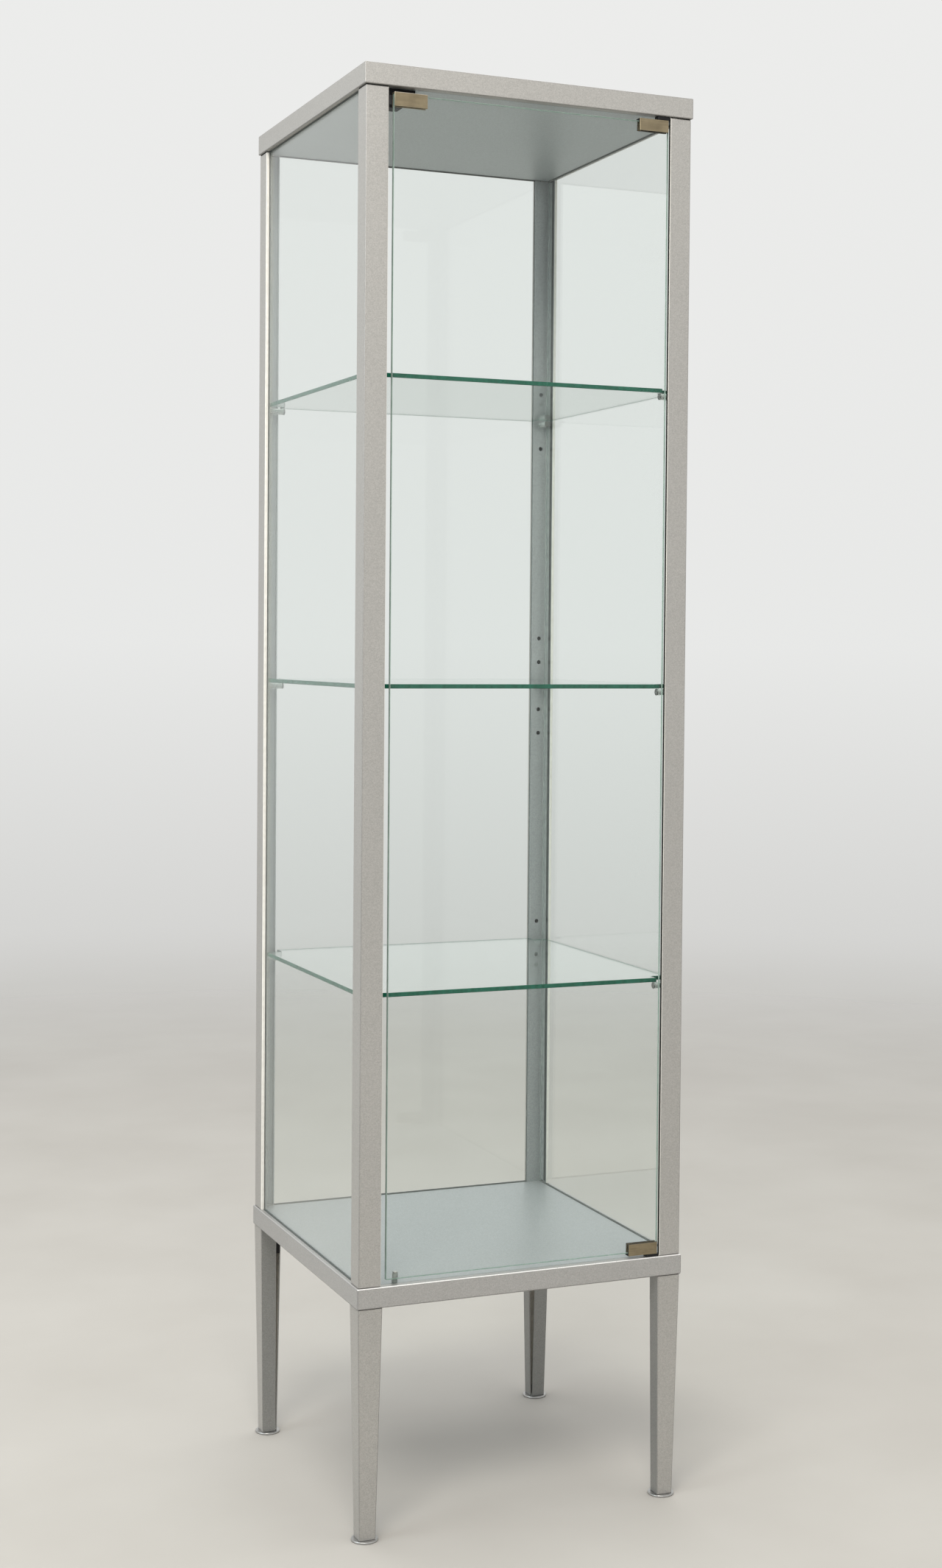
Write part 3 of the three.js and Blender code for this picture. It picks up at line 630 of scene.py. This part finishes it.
for node in nodes_in("shelf_pin_"):
    shelf_pin(node)


# ---- Door fittings, catch and stop -----------------------------------------


def softened_block(node, radius, finish, shortest=BLOCK_EDGE):
    solid = cad_solid(node)
    round_off(solid, corner_edges(solid, shortest), radius, 3)
    return stand_for(node, solid, finish)


def hinge_clamp(node):
    """Bronze plates in front and behind, black on the narrow sides and underneath; the lower edges of the
    plates are black too, as painted shade.
    """
    solid = cad_solid(node)
    round_off(solid, corner_edges(solid, BLOCK_EDGE), CLAMP_RADIUS, 3)
    solid.normal_update()
    for face in solid.faces:
        # the plates' faces that face down are left black: painted shade
        plate = abs(face.normal.y) > 0.35 and face.normal.z > -0.3 and abs(face.normal.x) < 0.9
        face.material_index = 0 if plate else 1
    return stand_for(node, solid, BRONZE, PLASTIC)


for node in nodes_in("hinge_clamp_"):
    hinge_clamp(node)
softened_block("strike_clip", CLAMP_RADIUS, BRONZE)
for node in nodes_in("pivot_bushing_") + ["catch_housing"] + nodes_in("leg_insert_"):
    softened_block(node, PLASTIC_RADIUS, PLASTIC)
softened_block("catch_magnet", MAGNET_RADIUS, FERRITE)
for node in nodes_in("pivot_pin_") + nodes_in("clamp_screw_") + nodes_in("catch_screw_"):
    softened_block(node, SCREW_RADIUS, ZINC, SCREW_EDGE)
for node in nodes_in("leg_bolt_"):
    softened_block(node, BOLT_RADIUS, BLACK_STEEL, BOLT_EDGE)


def leg_glide(node):
    """A plated disc with a rolled rim on a threaded stem."""
    low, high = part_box(node)
    centre = (low + high) / 2
    disc, stem = (high.x - low.x) / 2, GLIDE_STEM_RADIUS
    top, end = GLIDE_HEIGHT, high.z - low.z
    profile = softened([
        (0, 0), (disc - GLIDE_UNDERCUT, 0), (disc, GLIDE_RIM_HEIGHT), (disc - GLIDE_SHOULDER, top),
        (stem, top), (stem, end), (0, end)], GLIDE_ROUNDING)
    return stand_for(node, turned(profile, (centre.x, centre.y, low.z), (0, 0, 1), 56), ZINC)


for node in nodes_in("leg_glide_"):
    leg_glide(node)


def door_stop():
    """A headed pin in a ribbed plastic sleeve."""
    low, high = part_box("stop_pin")
    centre = (low + high) / 2
    head, stem = (high.x - low.x) / 2, STOP_STEM_RADIUS
    height, cap = high.z - low.z, STOP_HEAD_HEIGHT
    profile = softened([
        (0, 0), (stem, 0), (stem, height - cap), (head, height - cap), (head, height), (0, height)],
        STOP_ROUNDING)
    stand_for("stop_pin", turned(profile, (centre.x, centre.y, low.z), (0, 0, 1)), ZINC)
    low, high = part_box("stop_sleeve")
    outer, bore, height = (high.x - low.x) / 2, STOP_BORE_RADIUS, high.z - low.z
    tube = [(bore, 0), (outer, 0), (outer, height), (bore, height), (bore, 0)]
    ribs = turned(tube, (centre.x, centre.y, low.z), (0, 0, 1), 72, lambda k: -0.07 * (k % 4 in (2, 3)))
    bmesh.ops.remove_doubles(ribs, verts=ribs.verts, dist=RING_WELD)
    stand_for("stop_sleeve", ribs, GREY_PLASTIC)


door_stop()


# ---- Seals and dark pieces of painted shade --------------------------------


def seal(name, seal_and_shade_finish, bars):
    """Thin bars with rounded edges, given by their lowest and highest corners."""
    solid = bmesh.new()
    solid.faces.layers.float.new("fold")
    for low, high in bars:
        made = bmesh.ops.create_cube(solid, size=1.0)
        for vert in made["verts"]:
            vert.co = Vector([(low[k] + high[k]) / 2 + vert.co[k] * (high[k] - low[k]) for k in range(3)])
    bmesh.ops.bevel(
        solid, geom=solid.edges[:], offset=SEAL_RADIUS, offset_type="OFFSET", segments=2,
        profile=0.5, affect="EDGES", clamp_overlap=True)
    add_piece(name, mesh_of(solid, name), "cabinet", "black_rubber", seal_and_shade_finish)


def glazing_seals(node):
    """Seals along the foot and the head of a pane, on both of its faces."""
    low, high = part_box(node)
    thin = 0 if high.x - low.x < high.y - low.y else 1
    reach = -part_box("post_front_left")[1][1 - thin]
    floor_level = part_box("base_frame")[1].z
    ceiling_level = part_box("top_cap")[0].z
    bars = []
    for across in [(low[thin] - SEAL, low[thin] - TOUCH), (high[thin] + TOUCH, high[thin] + SEAL)]:
        for z in [(floor_level + TOUCH, floor_level + SEAL), (ceiling_level - SEAL, ceiling_level - TOUCH)]:
            start, end = Vector((0, 0, z[0])), Vector((0, 0, z[1]))
            start[thin], end[thin] = across
            start[1 - thin], end[1 - thin] = -reach + TOUCH, reach - TOUCH
            bars.append((start, end))
    seal(node.replace("pane", "glazing_seal"), SEAL_RUBBER, bars)


def post_gap_shade(corner):
    """A dark pad of painted shade in the shadow gap over a post, along its two outer faces."""
    low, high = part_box("post_" + corner)
    bottom, top = high.z - POST_SEAM + TOUCH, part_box("top_cap")[0].z - TOUCH
    inset, width = POST_SHADE_INSET, POST_SHADE_WIDTH
    x = (low.x + inset, low.x + width) if low.x < 0 else (high.x - width, high.x - inset)
    y = (low.y + inset, low.y + width) if low.y < 0 else (high.y - width, high.y - inset)
    beyond = (y[1] + TOUCH, high.y - inset) if low.y < 0 else (low.y + inset, y[0] - TOUCH)
    seal("post_gap_shade_" + corner, SHADE_BLACK, [
        ((low.x + inset, y[0], bottom), (high.x - inset, y[1], top)),
        ((x[0], beyond[0], bottom), (x[1], beyond[1], top))])


def leg_gap_shade(corner):
    """A dark square ring of painted shade in the shadow gap over a leg."""
    low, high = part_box("leg_" + corner)
    bottom, top = high.z - LEG_SEAM + TOUCH, high.z - TOUCH
    left, right = low.x + LEG_SHADE_INSET, high.x - LEG_SHADE_INSET
    front, back = low.y + LEG_SHADE_INSET, high.y - LEG_SHADE_INSET
    left_end, right_end = low.x + LEG_SHADE_WIDTH, high.x - LEG_SHADE_WIDTH
    between = (left_end + LEG_SHADE_SPLIT, right_end - LEG_SHADE_SPLIT)
    seal("leg_gap_shade_" + corner, SHADE_BLACK, [
        ((left, front, bottom), (left_end, back, top)),
        ((right_end, front, bottom), (right, back, top)),
        ((between[0], front, bottom), (between[1], low.y + LEG_SHADE_WIDTH, top)),
        ((between[0], high.y - LEG_SHADE_WIDTH, bottom), (between[1], back, top))])


def hole_shade_strip(corner, wall_axis):
    """A black strip of painted shade behind the drilled wall of a post, which makes its holes dark."""
    low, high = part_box("post_" + corner)
    outer = outer_corner(low, high)
    start, end = Vector((0, 0, low.z + HOLE_SHADE_SHORTER)), Vector((0, 0, high.z - HOLE_SHADE_SHORTER))
    for axis, near, far in [(wall_axis, HOLE_SHADE_BACK, HOLE_SHADE_FRONT), (1 - wall_axis, HOLE_SHADE_START, HOLE_SHADE_END)]:
        inward = -math.copysign(1, outer[axis])
        start[axis], end[axis] = sorted([outer[axis] + inward * near, outer[axis] + inward * far])
    seal("hole_shade_strip_" + corner, SHADE_BLACK, [(start, end)])


def slot_fillers(corner):
    """In the slot of a side pane: a grey packer by the drilled wall, then a black strip of painted shade.
    """
    low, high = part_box("post_" + corner)
    outer = outer_corner(low, high)
    inward = [-math.copysign(1, outer[k]) for k in range(2)]
    pane_low, pane_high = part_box("pane_left" if outer[0] < 0 else "pane_right")
    pane_face = pane_low.x if outer[0] < 0 else pane_high.x
    across = sorted([outer[0] + inward[0] * SLOT_SKIN, pane_face - inward[0] * PANE_GAP])
    for name, near, far, finish in [
            ("slot_packer_", SLOT_START, SLOT_MIDDLE, FILLER),
            ("slot_shade_strip_", SLOT_MIDDLE + FILLER_GAP, SLOT_END, SHADE_BLACK)]:
        along = sorted([outer[1] + inward[1] * near, outer[1] + inward[1] * far])
        seal(name + corner, finish, [(
            (across[0], along[0], low.z + SLOT_SHORTER), (across[1], along[1], high.z - SLOT_SHORTER))])


def door_gap_shade():
    """A thin black strip of painted shade on the lip of the post beside the door's hinge edge."""
    low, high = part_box("post_front_right")
    seal("door_gap_shade", SHADE_BLACK, [(
        (low.x - DOOR_SHADE_THICKNESS, low.y + DOOR_SHADE_START, low.z + DOOR_SHADE_FOOT),
        (low.x - TOUCH, low.y + DOOR_SHADE_END, high.z - DOOR_SHADE_HEAD))])


for node in nodes_in("pane_"):
    glazing_seals(node)
for index, corner in enumerate(CORNERS):
    post_gap_shade(corner)
    leg_gap_shade(corner)
    hole_shade_strip(corner, 1 - index % 2)
    slot_fillers(corner)
door_gap_shade()


# ---- Studio ----------------------------------------------------------------

CAMERA_PLACE = Vector((-1.0348, -2.5731, 1.0250))
CAMERA_YAW = math.radians(23.02)
CAMERA_PITCH = math.radians(-1.653)
CAMERA_ROLL = math.radians(0.48)
CAMERA_LENS = 51.2
CAMERA_SHIFT = (-0.0224, -0.0477)
FLOOR_RADIUS = 9.0
FLOOR_FADE = (1.6, 5.5)


def studio_floor():
    mesh = bpy.data.meshes.new("floor")
    solid = bmesh.new()
    bmesh.ops.create_circle(solid, cap_ends=True, segments=96, radius=FLOOR_RADIUS)
    solid.to_mesh(mesh)
    solid.free()
    floor = bpy.data.objects.new("floor", mesh)
    bpy.context.scene.collection.objects.link(floor)
    made, t = material("floor")
    place = t.place()
    distance = t.add("ShaderNodeVectorMath", {0: place}, operation="LENGTH").outputs["Value"]
    limits = {"Value": distance, "From Min": FLOOR_FADE[0], "From Max": FLOOR_FADE[1]}
    fade = t.add("ShaderNodeMapRange", limits, interpolation_type="SMOOTHSTEP")
    tone = t.blend(t.remap(t.noise(3, 5), 0.3, 0.7, 0, 1), (0.47, 0.450, 0.415, 1), (0.51, 0.492, 0.457, 1))
    ground = t.principled(Base_Color=tone, Roughness=0.75)
    clear = t.add("ShaderNodeBsdfTransparent").outputs["BSDF"]
    t.finish(t.mix(fade.outputs["Result"], ground, clear))
    mesh.materials.append(made)


def studio_world():
    world = bpy.data.worlds.new("studio")
    bpy.context.scene.world = world
    world.use_nodes = True
    t = Tree(world.node_tree)
    direction = t.add("ShaderNodeTexCoord").outputs["Generated"]
    height = t.add("ShaderNodeSeparateXYZ", {"Vector": direction}).outputs["Z"]
    tone = t.add("ShaderNodeValToRGB", {"Fac": t.remap(height, -1, 1, 0, 1)})
    stops = tone.color_ramp.elements
    stops[0].position, stops[0].color = 0.30, (0.36, 0.345, 0.32, 1)
    stops[1].position, stops[1].color = 0.72, (0.86, 0.86, 0.85, 1)
    middle = stops.new(0.5)
    middle.color = (0.805, 0.81, 0.80, 1)
    background = t.add("ShaderNodeBackground", {"Color": tone.outputs["Color"], "Strength": 1.0})
    t.add("ShaderNodeOutputWorld", {"Surface": background.outputs["Background"]})


def softbox(name, place, target, size, power, colour):
    light = bpy.data.lights.new(name, "AREA")
    light.shape = "RECTANGLE"
    light.size, light.size_y = size
    light.energy = power
    light.color = colour
    lamp = bpy.data.objects.new(name, light)
    bpy.context.scene.collection.objects.link(lamp)
    lamp.location = place
    lamp.rotation_euler = (Vector(target) - Vector(place)).to_track_quat("-Z", "Y").to_euler()


def studio_camera():
    """A camera at standing height to the front left, level to within two degrees."""
    ahead = Vector((
        math.sin(CAMERA_YAW) * math.cos(CAMERA_PITCH),
        math.cos(CAMERA_YAW) * math.cos(CAMERA_PITCH),
        math.sin(CAMERA_PITCH)))
    right = Vector((math.cos(CAMERA_YAW), -math.sin(CAMERA_YAW), 0))
    up = right.cross(ahead)
    tilt = Matrix.Rotation(-CAMERA_ROLL, 3, ahead)
    right, up = tilt @ right, tilt @ up
    turn = Matrix((right, up, -ahead)).transposed()
    data = bpy.data.cameras.new("camera")
    data.lens = CAMERA_LENS
    data.shift_x, data.shift_y = CAMERA_SHIFT
    camera = bpy.data.objects.new("camera", data)
    bpy.context.scene.collection.objects.link(camera)
    camera.matrix_world = Matrix.Translation(CAMERA_PLACE) @ turn.to_4x4()
    bpy.context.scene.camera = camera


studio_floor()
studio_world()
softbox("key", (-1.2, -2.0, 3.0), (-0.1, 0, 1.5), (1.6, 1.3), 66, (1.0, 0.955, 0.89))
softbox("fill", (-3.2, -0.4, 1.9), (0, 0, 0.7), (1.8, 1.8), 32, (0.84, 0.94, 1.0))
softbox("top", (0.0, 0.6, 3.8), (0, 0, 0), (2.4, 2.4), 28, (1, 1, 1))
studio_camera()

scene = bpy.context.scene
scene.view_settings.view_transform = "Standard"
scene.cycles.max_bounces = 18
scene.cycles.transmission_bounces = 16
scene.cycles.transparent_max_bounces = 40
scene.cycles.glossy_bounces = 6
scene.cycles.diffuse_bounces = 6
scene.cycles.caustics_reflective = False
scene.cycles.caustics_refractive = False
scene.cycles.sample_clamp_indirect = 4
